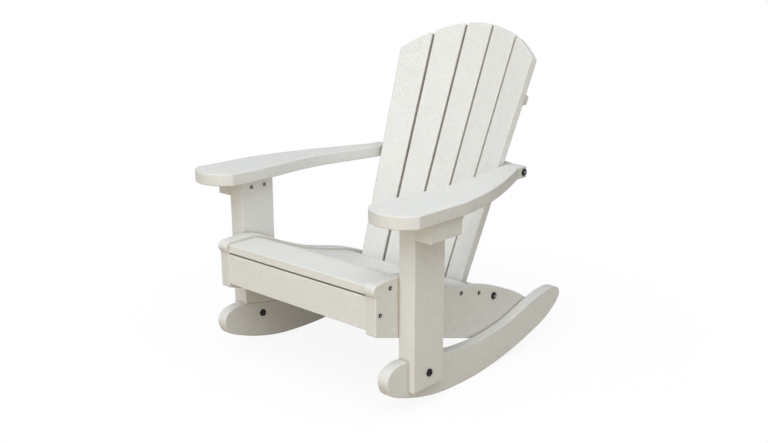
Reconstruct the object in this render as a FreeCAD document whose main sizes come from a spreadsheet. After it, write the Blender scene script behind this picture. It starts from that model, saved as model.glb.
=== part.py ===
import FreeCAD, Part
import math
import os

# Rocking adirondack chair for a child, built from plastic lumber boards.
# The chair faces -Y and stands on its rockers on the plane Z = 0.
# +X is the sitter's left. Y is first counted from the front face of the legs;
# every finished piece is then moved forward by the same amount, so that the
# origin lies in the middle of the footprint.

os.makedirs("parts", exist_ok=True)
doc = FreeCAD.newDocument("rocking_chair")
sheet = doc.addObject("Spreadsheet::Sheet", "Sizes")

# Driving dimensions, in millimetres. Slopes and spreads are run per unit of height.
SIZES = {
    # whole chair
    "origin_back": 237.5,        # from the legs' front face back to the origin
    "arm_height": 381.1,         # floor to the underside of the arms
    "half_inside": 220.5,        # mid-plane to the inner face of a leg
    "edge_round": 2.5,           # rounding on the shaped boards' long edges
    "corner_round": 4.0,         # rounding of the boards' corners
    # front legs
    "leg_thick": 38.0,
    "leg_wide": 89.0,
    "leg_foot": 41.5,            # floor to the leg's sawn end
    "leg_bevel": 1.2,
    "leg_bolt_height": 70.1,
    # arm brackets
    "bracket_thick": 37.0,
    "bracket_long": 92.0,
    "bracket_high": 38.6,
    # arms
    "arm_thick": 25.4,
    "arm_inward": 31.8,          # arm's inner edge inside the leg's inner face
    "arm_outward": 86.4,         # arm's outer edge outside the leg's inner face
    "arm_front": 46.0,           # front corners ahead of the leg's front face
    "arm_nose": 33.5,            # bulge of the front arc ahead of the corners
    "arm_straight": 92.0,        # where the straight outer edge ends
    "arm_inner_straight": 22.0,  # where the straight inner edge ends
    "arm_waist": 19.6,           # hollow of the inner edge
    "arm_tail_inner": 173.3,     # inner face of the arm's rear end
    "arm_tail_wide": 40.2,
    "arm_tail_start": 394.8,     # front end of the bolt's flat
    "arm_tail_flat": 31.0,
    "arm_tail_skew": 6.5,        # the rear end runs back this much inwards
    # seat sides
    "side_thick": 26.0,
    "side_front": 63.3,          # front face ahead of the leg's front face
    "side_long": 499.3,
    "side_high": 266.6,          # floor to the crest of the top edge
    "side_corner": 164.2,        # floor to the front lower corner
    "side_fall": 0.315,          # slope of the straight lower edge
    "nose_radius": 13.0,
    "nose_over": 6.4,            # how far the nose stands out over the front face
    "nose_drop": 14.9,           # the nose's centre below the crest
    "heel_long": 91.0,           # the sawn rear cut's length along the chair
    "heel_round": 25.0,
    "tail_back": 12.0,
    "tail_high": 22.5,
    # rockers
    "rocker_thick": 24.5,
    "rocker_front": 60.3,        # nose ahead of the leg's front face
    "rocker_long": 599.0,
    "rocker_high": 117.9,
    "rocker_low": 200.0,         # lowest point, under the chair's centre of mass
    "flat_radius": 1500.0,
    "front_radius": 480.0,
    "heel_radius": 550.0,
    "rear_radius": 960.0,
    # seat
    "slat_thick": 17.0,
    "seat_clear": 10.2,          # last seat slat ahead of the outer back slats
    "seat_sink": 6.0,            # slats' tops below the sides' top edge
    "seat_gap": 5.0,
    "seat_round": 2.0,
    "apron_thick": 20.0,
    "apron_gap": 4.0,
    "apron_low": 171.5,
    "front_set_back": 1.5,       # front slat and apron behind the sides' face
    # back
    "back_y": 409.9,             # centre slat's front at arm height
    "back_lean": 0.4136,
    "hinge_one": 33.0,           # fold between centre and inner slats
    "hinge_one_spread": 0.0124,
    "hinge_two": 100.9,          # fold between inner and outer slats
    "hinge_two_spread": 0.0473,
    "back_edge": 163.8,          # outer edge of the outer slats
    "back_edge_spread": 0.0845,
    "inner_turn": 0.196,         # how far inner slats turn to the sitter
    "outer_turn": 0.328,
    "back_gap": 5.0,
    "back_rise": 313.4,          # top of the arch above arm height
    "arch_radius": 300.0,
    "back_foot": 266.6,          # slats' lower ends below arm height
    "slat_round": 2.5,
    # back braces, their heights where they touch the centre slat
    "upper_height": 148.9,       # above arm height
    "upper_thick": 20.0,
    "upper_half": 182.0,
    "upper_deep": 35.0,
    "upper_end_deep": 12.0,
    "arm_brace_deep": 34.0,
    "lower_height": 243.9,       # below arm height
    "lower_thick": 25.0,
    "lower_deep": 36.0,
    "lower_end_deep": 41.5,
    # bolts and screws
    "bolt_radius": 4.0,
    "bolt_head_radius": 7.8,
    "bolt_head_high": 4.2,
    "bolt_socket": 2.9,
    "nut_high": 5.0,
    "nut_grip": 2.6,             # how far the leg bolt reaches into its nut
    "screw_radius": 2.4,
    "screw_head_radius": 4.1,
    "screw_head_high": 2.4,
    "screw_socket": 1.5,
    "seat_bite": 28.0,           # how far each kind reaches into its last board
    "inward_bite": 15.0,
    "bracket_bite": 22.0,
    "arm_bite": 14.0,
    "back_bite": 11.0,
    "arm_bolt_bite": 18.0,
    "side_bolt_bite": 40.0,
    "back_screw_seat": 18.0,     # a back screw's head behind the slat's back
    "back_screw_bore": 60.0,     # open bore behind that head
    "sunk_depth": 3.0,           # seat of a sunk screw head under the face
    "hole_play": 0.1,            # play all round a shank
    "bore_play": 0.6,            # play all round a sunk head
    "hole_spare": 3.0,           # hole beyond the shank's end
    "drill_start": 1.0,          # where a drill starts, before the face
}

row = 1
for alias, number in SIZES.items():
    sheet.set("A%d" % row, alias)
    sheet.set("B%d" % row, str(number))
    sheet.setAlias("B%d" % row, alias)
    row += 1
doc.recompute()


def size(alias):
    """The number that the sheet holds under this alias."""
    return float(getattr(sheet, alias))


V = FreeCAD.Vector
ORIGIN_SHIFT = V(0, -size("origin_back"), 0)
HANDS = {"left": 1, "right": -1}
TOUCH = 0.01
finished = []


# Helpers

def at(x, y, z, rotation=None):
    return FreeCAD.Placement(V(x, y, z), rotation or FreeCAD.Rotation())


def sketch_on(body, name, plane):
    """An empty sketch on one of the body's own origin planes."""
    sketch = body.newObject("Sketcher::SketchObject", name)
    for feature in body.Origin.OriginFeatures:
        if feature.Role == plane:
            sketch.AttachmentSupport = [(feature, "")]
    sketch.MapMode = "FlatFace"
    return sketch


def board(name, plane, edges, thickness, backwards=False, middle=False):
    """A body padded from an outline; its thickness is a formula on the sheet."""
    body = doc.addObject("PartDesign::Body", name + "_board")
    sketch = sketch_on(body, name + "_outline", plane)
    for edge in edges:
        sketch.addGeometry(edge, False)
    pad = body.newObject("PartDesign::Pad", name + "_pad")
    pad.Profile = sketch
    pad.setExpression("Length", thickness)
    pad.Reversed = backwards
    pad.Midplane = middle
    body.Tip = pad
    doc.recompute()
    return body


def soften(body, names, alias, kind="Fillet"):
    """Round or bevel the named edges of the body's last feature."""
    last = body.Tip
    softened = body.newObject("PartDesign::" + kind, body.Name + "_" + kind.lower())
    softened.Base = (last, names)
    softened.setExpression("Radius" if kind == "Fillet" else "Size", "Sizes." + alias)
    body.Tip = softened
    doc.recompute()


def edges_where(shape, rule):
    """Names of the shape's edges for which the rule holds."""
    names = []
    for number, edge in enumerate(shape.Edges, 1):
        if rule(edge):
            names.append("Edge%d" % number)
    return names


def corner_edges(shape, plane, corners):
    """The edges that run through the board at these outline corners."""
    def at_corner(edge):
        middle = edge.CenterOfMass
        spot = (middle.y, middle.z) if plane == "YZ_Plane" else (middle.x, middle.z)
        return min(math.dist(spot, corner) for corner in corners) < TOUCH
    return edges_where(shape, at_corner)


def outline_edges(shape, axis):
    """The edges that lie in the two flat faces across this axis."""
    index = "xyz".index(axis)
    places = [edge.CenterOfMass[index] for edge in shape.Edges]

    def in_a_face(edge):
        place = edge.CenterOfMass[index]
        return place < min(places) + TOUCH or place > max(places) - TOUCH
    return edges_where(shape, in_a_face)


def lines(points, close=True):
    """Straight edges from point to point."""
    corners = [V(x, y, 0) for x, y in points]
    if close:
        corners.append(corners[0])
    return [Part.LineSegment(a, b) for a, b in zip(corners, corners[1:])]


def smooth(points):
    """One curve through all the points."""
    curve = Part.BSplineCurve()
    curve.interpolate([V(x, y, 0) for x, y in points])
    return curve


def arc(first, middle, last):
    return Part.Arc(V(first[0], first[1], 0), V(middle[0], middle[1], 0), V(last[0], last[1], 0))


def height_between(points, y):
    """Height at this y on the straight line between the nearest two points."""
    for (y0, z0), (y1, z1) in zip(points, points[1:]):
        if y0 <= y <= y1:
            return z0 + (z1 - z0) * (y - y0) / (y1 - y0)


# Each kind of fastener is noted once, with its places: the middle of its
# head's seat and the way out of the board. The boards take their holes from it.
fasteners = {}


def fasten(name, kind, shank, places, bore=0.0):
    fasteners[name] = (kind, shank, [(V(*seat), V(*way)) for seat, way in places], bore)


def hole_tools(name, base, home, groups, hand):
    """Cylinders in the piece's own frame, for the shanks and heads that meet it."""
    start = size("drill_start")
    tools = []
    for group_name in groups:
        kind, shank, places, bore = fasteners[group_name]
        for seat, way in places:
            spot, turned_way = home.multVec(seat), home.Rotation.multVec(way)
            if hand * seat.x < 0 or not base.Shape.BoundBox.intersect(spot, turned_way):
                continue
            long = start + shank + size("hole_spare")
            wanted = [("%s_radius + Sizes.hole_play" % kind, spot + turned_way * start, turned_way * -1, long)]
            if bore:
                wanted.append(("%s_head_radius + Sizes.bore_play" % kind, spot, turned_way, bore))
            for radius, foot_point, direction, deep in wanted:
                tool = doc.addObject("Part::Cylinder", name + "_hole")
                tool.setExpression("Radius", "Sizes." + radius)
                tool.Height = deep
                tool.Placement = FreeCAD.Placement(foot_point, FreeCAD.Rotation(V(0, 0, 1), direction))
                tools.append(tool)
    return tools


def finish(name, piece, placement):
    piece.Label = name
    piece.Placement = FreeCAD.Placement(ORIGIN_SHIFT, FreeCAD.Rotation()).multiply(placement)
    finished.append((name, piece))


def drilled(name, base, placement, groups, hand=0):
    """The finished piece: the base with its holes, set at its own placement."""
    bundle = doc.addObject("Part::MultiFuse", name + "_holes")
    bundle.Shapes = hole_tools(name, base, placement.inverse(), groups, hand)
    piece = doc.addObject("Part::Cut", name + "_drilled")
    piece.Base = base
    piece.Tool = bundle
    doc.recompute()
    finish(name, piece, placement)


# Planes that several pieces share
arm_under = size("arm_height")
inside = size("half_inside")
side_inner = inside - size("side_thick")
leg_outer = inside + size("leg_thick")


# Outline of the seat sides
# The top edge is one curve from the round nose over the crest at the leg and
# the hump at the back. Its points are shares of the side's length and height.
SIDE_TOP = [
    (0.0967, 1.0), (0.1780, 0.982), (0.2289, 0.9445), (0.3070, 0.8747),
    (0.3805, 0.8177), (0.4440, 0.7727), (0.5690, 0.7067), (0.7060, 0.6437),
    (0.8185, 0.5701), (0.9251, 0.4820), (1.0, 0.3995),
]

side_face = -size("side_front")
side_crest = [(side_face + along * size("side_long"), up * size("side_high")) for along, up in SIDE_TOP]
nose_radius = size("nose_radius")
nose_y = side_face - size("nose_over") + nose_radius
nose_z = size("side_high") - size("nose_drop")

# The nose's circle ends where its tangent is that of the top edge.
nose_turn = 0.0
for step in range(4):
    nose_top = (nose_y - nose_radius * math.sin(nose_turn), nose_z + nose_radius * math.cos(nose_turn))
    side_top = smooth([nose_top] + side_crest)
    start_way = side_top.tangent(side_top.FirstParameter)[0]
    nose_turn = math.atan2(start_way.y, start_way.x)
side_top_points = [nose_top] + side_crest

nose_foot = (side_face, nose_z - math.sqrt(nose_radius ** 2 - (nose_y - side_face) ** 2))
side_end = side_crest[-1]
side_tail = (side_end[0] - size("tail_back"), side_end[1] - size("tail_high"))
heel_y = side_end[0] - size("heel_long")
side_corner = (side_face, size("side_corner"))
side_heel = (heel_y, size("side_corner") - size("side_fall") * (heel_y - side_face))
side_under_points = [side_corner, side_heel, side_tail]
side_outline = [side_top] + lines([side_end, side_tail, side_heel, side_corner, nose_foot], False)
side_outline.append(arc(nose_foot, (nose_y - nose_radius, nose_z), nose_top))


# Outline of the rockers
# The bottom is a chain of arcs, each tangent to the one before it, laid from
# the lowest point both ways; the rest of the outline is one curve round the
# nose, along the top and round the tail. Points are shares of length and height.
ROCKER_NOSE = [(0.0159, 0.4368), (0.0050, 0.5301), (0.0002, 0.6573), (0.0097, 0.7718), (0.0339, 0.8533)]
ROCKER_TOP = [
    (0.0751, 0.8855), (0.1007, 0.8753), (0.1858, 0.7990), (0.2810, 0.7226),
    (0.3928, 0.6522), (0.4763, 0.6310), (0.5681, 0.6531), (0.6760, 0.7294),
    (0.7835, 0.8770), (0.8519, 0.9584), (0.9287, 1.0), (0.9721, 0.9720),
]
ROCKER_TAIL = [(0.9947, 0.8991), (0.9998, 0.7973), (0.9880, 0.6955), (0.9554, 0.5640), (0.9154, 0.4512)]
FORWARD_ARCS = [(0.3344, "flat_radius"), (0.0306, "front_radius")]
BACKWARD_ARCS = [(0.4930, "heel_radius"), (0.8853, "rear_radius")]


def rocker_y(along):
    return along * size("rocker_long") - size("rocker_front")


def rolling_arcs(stretches):
    """Arcs from the lowest point outwards, each given by its end and radius."""
    y, z, slope = size("rocker_low"), 0.0, 0.0
    arcs = []
    for along, radius_alias in stretches:
        radius = size(radius_alias)
        centre_y = y - radius * slope
        centre_z = z + radius * math.sqrt(1 - slope ** 2)
        stop = rocker_y(along)
        three = []
        for spot in (y, (y + stop) / 2, stop):
            three.append((spot, centre_z - math.sqrt(radius ** 2 - (spot - centre_y) ** 2)))
        arcs.append(three)
        y, z = three[-1]
        slope = (stop - centre_y) / radius
    return arcs


front_arcs = rolling_arcs(FORWARD_ARCS)
rear_arcs = rolling_arcs(BACKWARD_ARCS)
rocker_shares = ROCKER_NOSE + ROCKER_TOP + ROCKER_TAIL
rocker_points = [(rocker_y(along), up * size("rocker_high")) for along, up in rocker_shares]
rocker_top_points = rocker_points[len(ROCKER_NOSE):-len(ROCKER_TAIL)]
rocker_over = smooth([front_arcs[-1][-1]] + rocker_points + [rear_arcs[-1][-1]])
rocker_outline = [arc(*three) for three in front_arcs + rear_arcs] + [rocker_over]


# Planes of the back
# The five slats are flat and lie in planes that meet in folds, so that the
# back wraps round the sitter. Heights here are counted from the arms' underside.
foot, crest = -size("back_foot"), size("back_rise")
mid_line = (0.0, 0.0)
fold_one = (size("hinge_one"), size("hinge_one_spread"))
fold_two = (size("hinge_two"), size("hinge_two_spread"))
rim = (size("back_edge"), size("back_edge_spread"))
SLAT_EDGES = {"centre": (mid_line, mid_line), "inner": (fold_one, fold_two), "outer": (fold_two, rim)}
SLATS = {
    "back_slat_centre": ("centre", 1),
    "back_slat_inner_left": ("inner", 1),
    "back_slat_outer_left": ("outer", 1),
    "back_slat_inner_right": ("inner", -1),
    "back_slat_outer_right": ("outer", -1),
}


def across(line, height):
    """Distance from the mid-plane of a fold or edge at this height."""
    return line[0] + line[1] * height


def front_point(kind, hand, x, height):
    """Point on a slat's front face, x being counted outwards from the middle."""
    y = size("back_y") + size("back_lean") * height
    if kind == "inner":
        y -= size("inner_turn") * (x - across(fold_one, height))
    if kind == "outer":
        y -= size("inner_turn") * (across(fold_two, height) - across(fold_one, height))
        y -= size("outer_turn") * (x - across(fold_two, height))
    return V(hand * x, y, height + arm_under)


def slat_middle(kind, height):
    edges = SLAT_EDGES[kind]
    return (across(edges[0], height) + across(edges[1], height)) / 2


def slat_frame(kind, hand):
    """Placement with X across the slat, Z up along it and Y to the rear."""
    low = front_point(kind, hand, slat_middle(kind, foot), foot)
    top = front_point(kind, hand, slat_middle(kind, crest), crest)
    beside = front_point(kind, hand, slat_middle(kind, foot) + size("hinge_one"), foot)
    up = (top - low).normalize()
    rear = up.cross((beside - low) * hand).normalize()
    right = rear.cross(up)
    axes = FreeCAD.Matrix(right.x, rear.x, up.x, 0, right.y, rear.y, up.y, 0, right.z, rear.z, up.z, 0)
    return FreeCAD.Placement(low, FreeCAD.Placement(axes).Rotation)


slat_homes = {name: slat_frame(kind, hand) for name, (kind, hand) in SLATS.items()}


def rearward(home):
    return home.Rotation.multVec(V(0, 1, 0))


def on_slat_back(name, height):
    """Point on the middle line of a slat's back face."""
    kind, hand = SLATS[name]
    front = front_point(kind, hand, slat_middle(kind, height), height)
    return front + rearward(slat_homes[name]) * size("slat_thick")


def arch(x):
    """Height of the arched top over this distance from the mid-plane."""
    radius = size("arch_radius")
    return crest - radius + math.sqrt(radius ** 2 - x ** 2)


def slat_outline(name):
    """The slat's sides and its arched top, in its own plane."""
    kind, hand = SLATS[name]
    home = slat_homes[name].inverse()
    gap = size("back_gap") / 2
    borders = {
        "centre": ((fold_one, -1, -gap), (fold_one, 1, -gap)),
        "inner": ((fold_one, 1, gap), (fold_two, 1, -gap)),
        "outer": ((fold_two, 1, gap), (rim, 1, 0.0)),
    }[kind]

    def flat(x, height):
        spot = home.multVec(front_point(kind, hand, x, height))
        return (spot.x, spot.z)

    tops = []
    feet = []
    for line, sense, ease in borders:
        height = crest
        for step in range(20):
            height = arch(across(line, height) + ease)
        tops.append((sense * (across(line, height) + ease), height))
        feet.append(flat(sense * (across(line, foot) + ease), foot))
    crown_x = (tops[0][0] + tops[1][0]) / 2
    first, last = flat(*tops[0]), flat(*tops[1])
    base = min(feet[0][1], feet[1][1])
    corners = [last, (feet[1][0], base), (feet[0][0], base), first]
    return [arc(first, flat(crown_x, arch(crown_x)), last)] + lines(corners, False), corners


# Places of the seat slats
# Each slat's top lies the same depth below the sides' top edge. The last one
# ends just ahead of the outer back slats. Rear edges are shares of the depth.
SEAT_BREAKS = [0.2198, 0.4337, 0.6435, 0.8435, 1.0]

seat_front = side_face + size("front_set_back")


def seat_height(y):
    """Height of the slats' tops, below the sides' top curve."""
    low, high = side_top.FirstParameter, side_top.LastParameter
    for step in range(40):
        middle = (low + high) / 2
        if side_top.value(middle).x < y:
            low = middle
        else:
            high = middle
    return side_top.value(low).y - size("seat_sink")


seat_rear = size("back_y")
for step in range(20):
    height = seat_height(seat_rear) - arm_under
    seat_rear = front_point("outer", 1, across(rim, height), height).y - size("seat_clear")

seat_slats = []
start = seat_front
for share in SEAT_BREAKS:
    stop = seat_front + share * (seat_rear - seat_front)
    rise = seat_height(stop) - seat_height(start)
    tilt = FreeCAD.Rotation(V(1, 0, 0), math.degrees(math.atan2(rise, stop - start)))
    home = at(0, (start + stop) / 2, (seat_height(start) + seat_height(stop)) / 2, tilt)
    seat_slats.append((home, math.hypot(stop - start, rise)))
    start = stop + size("seat_gap")

apron_top = seat_height(seat_front) - size("slat_thick") - size("apron_gap")
apron_home = at(0, seat_front + size("apron_thick") / 2, (apron_top + size("apron_low")) / 2)


# Places of the back braces
# Two of them lie square to the centre slat; the one between the arms is level.
centre_home = slat_homes["back_slat_centre"]
back_drop = -rearward(centre_home).z * size("slat_thick")


def brace_home(height):
    """Placement on the centre slat's back face, at this height on that face."""
    return FreeCAD.Placement(on_slat_back("back_slat_centre", height + back_drop), centre_home.Rotation)


upper_home = brace_home(size("upper_height"))
lower_home = brace_home(-size("lower_height"))
arm_mid = size("arm_thick") / 2
arm_brace_home = at(0, brace_home(arm_mid).Base.y, arm_under + arm_mid)


def slat_back_at(home, x):
    """Where the outer slat's back plane crosses a brace's middle plane."""
    outer = slat_homes["back_slat_outer_left"]
    start = home.multVec(V(x, 0, 0)) - outer.Base
    return (size("slat_thick") - rearward(outer).dot(start)) / rearward(outer).dot(rearward(home))


def back_screws(home):
    """Seats of a brace's screws, one behind each slat where the brace crosses it."""
    places = []
    for name in SLATS:
        low, high = foot, crest
        for step in range(40):
            middle = (low + high) / 2
            if home.inverse().multVec(on_slat_back(name, middle)).z < 0:
                low = middle
            else:
                high = middle
        rear = rearward(slat_homes[name])
        places.append((on_slat_back(name, low) + rear * size("back_screw_seat"), rear))
    return places


arm_tail_outer = size("arm_tail_inner") + size("arm_tail_wide")
arm_tail_end = size("arm_tail_start") + size("arm_tail_flat")
arm_rear = arm_tail_end + size("arm_tail_skew")
lower_end_front = slat_back_at(lower_home, side_inner)
lower_bolt = lower_home.multVec(V(side_inner, lower_end_front + size("lower_end_deep") / 2, 0))


# Where the bolts and screws go
# Places on a board are shares of its width, so that they move with its size.
LEG_BOLT_SHARE = 0.512
LEG_SCREW_SHARES = [(0.31, 0.29), (0.67, 0.67)]
ROCKER_SCREW_SHARES = [0.7276, 0.8177, 0.9039]
BRACKET_SCREW_SHARES = [0.30, 0.69]
BRACKET_SCREW_DROP = 0.503
ARM_SCREW_SHARES = [0.14, 0.85]
ARM_BOLT_SHARE = 0.716


def both_hands(x, spots, way):
    """The same spots on the left and the right of the chair."""
    places = []
    for hand in HANDS.values():
        for y, z in spots:
            places.append(((hand * x, y, z), (hand * way, 0, 0)))
    return places


back_shank = size("back_screw_seat") + size("back_bite")
for name, home in [("upper", upper_home), ("arm", arm_brace_home), ("lower", lower_home)]:
    fasten(name + "_brace_screws", "screw", back_shank, back_screws(home), size("back_screw_bore"))

seat_spots = []
for home, wide in seat_slats:
    middle = home.multVec(V(0, 0, -size("slat_thick") / 2))
    seat_spots.append((middle.y, middle.z))
covered_spots = [spot for spot in seat_spots if 0 < spot[0] < size("leg_wide")]
open_spots = [spot for spot in seat_spots if spot not in covered_spots]
seat_shank = size("side_thick") + size("seat_bite")
fasten("seat_slat_screws", "screw", seat_shank, both_hands(inside, open_spots, 1))
# The screws that a leg covers have their heads sunk into the side.
covered_places = both_hands(inside - size("sunk_depth"), covered_spots, 1)
fasten("covered_slat_screws", "screw", seat_shank, covered_places, size("sunk_depth") + size("drill_start"))
apron_spot = (apron_home.Base.y, apron_home.Base.z)
fasten("apron_screws", "screw", seat_shank, both_hands(inside, [apron_spot], 1))

inward_shank = size("side_thick") + size("inward_bite")
leg_screw_spots = []
for along, up in LEG_SCREW_SHARES:
    y = along * size("leg_wide")
    low = height_between(side_under_points, y)
    leg_screw_spots.append((y, low + up * (height_between(side_top_points, y) - low)))
fasten("leg_screws", "screw", inward_shank, both_hands(side_inner, leg_screw_spots, -1))
rocker_screw_spots = []
for along in ROCKER_SCREW_SHARES:
    y = side_face + along * size("side_long")
    overlap = (height_between(side_under_points, y), height_between(rocker_top_points, y))
    rocker_screw_spots.append((y, sum(overlap) / 2))
fasten("rocker_screws", "screw", inward_shank, both_hands(side_inner, rocker_screw_spots, -1))

bracket_under = arm_under - size("bracket_high")
bracket_screw_z = arm_under - BRACKET_SCREW_DROP * size("bracket_high")
bracket_spots = [(share * size("bracket_long"), bracket_screw_z) for share in BRACKET_SCREW_SHARES]
bracket_shank = size("leg_thick") + size("bracket_bite")
fasten("bracket_screws", "screw", bracket_shank, both_hands(inside, bracket_spots, -1))
arm_places = []
for hand in HANDS.values():
    x = hand * (leg_outer + size("bracket_thick") / 2)
    for share in ARM_SCREW_SHARES:
        arm_places.append(((x, share * size("bracket_long"), bracket_under), (0, 0, -1)))
fasten("arm_screws", "screw", size("bracket_high") + size("arm_bite"), arm_places)

leg_bolt_spot = (LEG_BOLT_SHARE * size("leg_wide"), size("leg_bolt_height"))
leg_shank = size("leg_thick") + size("nut_grip")
fasten("leg_bolts", "bolt", leg_shank, both_hands(leg_outer, [leg_bolt_spot], 1))
arm_bolt_spot = (size("arm_tail_start") + ARM_BOLT_SHARE * size("arm_tail_flat"), arm_under + arm_mid)
arm_shank = size("arm_tail_wide") + size("arm_bolt_bite")
fasten("arm_brace_bolts", "bolt", arm_shank, both_hands(arm_tail_outer, [arm_bolt_spot], 1))
side_shank = size("side_thick") + size("side_bolt_bite")
fasten("lower_brace_bolts", "bolt", side_shank, both_hands(inside, [(lower_bolt.y, lower_bolt.z)], 1))
SEAT_GROUPS = ["seat_slat_screws", "covered_slat_screws"]


# Seat slats and front apron
SEAT_LENGTH = "2 * (Sizes.half_inside - Sizes.side_thick)"


def cross_board(name, deep, high, top_only):
    """A board between the seat sides; its section's origin is at the top or middle."""
    top = 0.0 if top_only else high / 2
    low = top - high
    section = lines([(-deep / 2, top), (deep / 2, top), (deep / 2, low), (-deep / 2, low)])
    body = board(name, "YZ_Plane", section, SEAT_LENGTH, middle=True)

    def long_edge(edge):
        upper = edge.CenterOfMass.z > (top + low) / 2
        return edge.BoundBox.XLength > deep and (upper or not top_only)
    soften(body, edges_where(body.Shape, long_edge), "seat_round")
    return body


for number, (home, wide) in enumerate(seat_slats, 1):
    name = "seat_slat_%d" % number
    drilled(name, cross_board(name, wide, size("slat_thick"), True), home, SEAT_GROUPS)
apron = cross_board("front_apron", size("apron_thick"), apron_top - size("apron_low"), False)
drilled("front_apron", apron, apron_home, ["apron_screws"])


# Seat sides
side_corners = [side_end, side_tail, side_corner, nose_foot]
for side, hand in HANDS.items():
    name = "seat_side_" + side
    body = board(name, "YZ_Plane", side_outline, "Sizes.side_thick", hand < 0)
    soften(body, corner_edges(body.Shape, "YZ_Plane", [side_heel]), "heel_round")
    soften(body, corner_edges(body.Shape, "YZ_Plane", side_corners), "corner_round")
    soften(body, outline_edges(body.Shape, "x"), "edge_round")
    groups = SEAT_GROUPS + ["apron_screws", "leg_screws", "rocker_screws", "lower_brace_bolts"]
    drilled(name, body, at(hand * side_inner, 0, 0), groups, hand)


# Rockers
for side, hand in HANDS.items():
    name = "rocker_" + side
    body = board(name, "YZ_Plane", rocker_outline, "Sizes.rocker_thick", hand < 0)
    soften(body, outline_edges(body.Shape, "x"), "edge_round")
    drilled(name, body, at(hand * inside, 0, 0), ["leg_bolts", "rocker_screws"], hand)


# Front legs
# The inner part of a leg's foot is cut away along the rocker's top, so that
# the rocker is let in flush and a tongue stays outside it.
leg_foot = size("leg_foot")
leg_wide = size("leg_wide")
leg_long = arm_under - leg_foot
for side, hand in HANDS.items():
    name = "front_leg_" + side
    corners = [(0, 0), (leg_wide, 0), (leg_wide, leg_long), (0, leg_long)]
    body = board(name, "YZ_Plane", lines(corners), "Sizes.leg_thick", hand < 0)
    upright = edges_where(body.Shape, lambda edge: edge.BoundBox.ZLength > leg_foot)
    soften(body, upright, "leg_bevel", "Chamfer")
    over = rocker_over.copy()
    over.translate(V(0, -leg_foot, 0))
    first = over.value(over.FirstParameter)
    last = over.value(over.LastParameter)
    below = lines([(last.x, last.y), (last.x, -leg_foot), (first.x, -leg_foot), (first.x, first.y)], False)
    rabbet = board(name + "_rabbet", "YZ_Plane", [over] + below, "2 * Sizes.rocker_thick", middle=True)
    cut = doc.addObject("Part::Cut", name + "_cut")
    cut.Base = body
    cut.Tool = rabbet
    doc.recompute()
    drilled(name, cut, at(hand * inside, 0, leg_foot), ["leg_bolts", "leg_screws", "bracket_screws"], hand)


# Arm brackets
bracket_long, bracket_high = size("bracket_long"), size("bracket_high")
for side, hand in HANDS.items():
    name = "arm_bracket_" + side
    corners = [(0, 0), (bracket_long, 0), (bracket_long, bracket_high), (0, bracket_high)]
    body = board(name, "YZ_Plane", lines(corners), "Sizes.bracket_thick", hand < 0)

    def outer_edge(edge):
        middle = edge.CenterOfMass
        return abs(middle.x) > size("bracket_thick") - TOUCH and middle.z < bracket_high - TOUCH
    soften(body, edges_where(body.Shape, outer_edge), "leg_bevel", "Chamfer")
    drilled(name, body, at(hand * leg_outer, 0, bracket_under), ["bracket_screws", "arm_screws"], hand)


# Arms
# The outer edge sweeps in to the tail: shares of the way back and of the way
# in. The inner edge is hollow: shares of the way back and of the waist.
OUTER_SWEEP = [(0.211, 0.881), (0.330, 0.793), (0.505, 0.622), (0.674, 0.425), (0.852, 0.200)]
INNER_HOLLOW = [
    (0.920, 0.077), (0.761, 0.480), (0.624, 0.832), (0.488, 1.0),
    (0.382, 0.929), (0.219, 0.556), (0.102, 0.184),
]

arm_inner = inside - size("arm_inward")
arm_outer = inside + size("arm_outward")


def arm_plan(hand):
    """Plan of an arm, from its front arc round the outside."""
    front = -size("arm_front")
    tail_inner = size("arm_tail_inner")
    rear = size("arm_tail_start")
    sweep_from, hollow_from = size("arm_straight"), size("arm_inner_straight")
    outer = [(arm_outer, sweep_from)]
    for back, out in OUTER_SWEEP:
        x = arm_tail_outer + out * (arm_outer - arm_tail_outer)
        outer.append((x, sweep_from + back * (rear - sweep_from)))
    outer.append((arm_tail_outer, rear))
    inner = [(tail_inner, rear)]
    for back, out in INNER_HOLLOW:
        chord = arm_inner + back * (tail_inner - arm_inner)
        inner.append((chord + out * size("arm_waist"), hollow_from + back * (rear - hollow_from)))
    inner.append((arm_inner, hollow_from))

    def flip(points):
        return [(hand * x, y) for x, y in points]

    crown = ((arm_inner + arm_outer) / 2, front - size("arm_nose"))
    plan = [arc(*flip([(arm_inner, front), crown, (arm_outer, front)]))]
    plan += lines(flip([(arm_outer, front), outer[0]]), False)
    plan.append(smooth(flip(outer)))
    tail = [outer[-1], (arm_tail_outer, arm_tail_end), (tail_inner, arm_rear), inner[0]]
    plan += lines(flip(tail), False)
    plan.append(smooth(flip(inner)))
    plan += lines(flip([inner[-1], (arm_inner, front)]), False)
    return plan


for side, hand in HANDS.items():
    name = "arm_" + side
    body = board(name, "XY_Plane", arm_plan(hand), "Sizes.arm_thick")
    rounded = []
    for edge_name in outline_edges(body.Shape, "z"):
        if body.Shape.getElement(edge_name).CenterOfMass.y < size("arm_tail_start"):
            rounded.append(edge_name)
    soften(body, rounded, "edge_round")
    drilled(name, body, at(0, 0, arm_under), ["arm_screws", "arm_brace_bolts"], hand)


# Back braces

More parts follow.
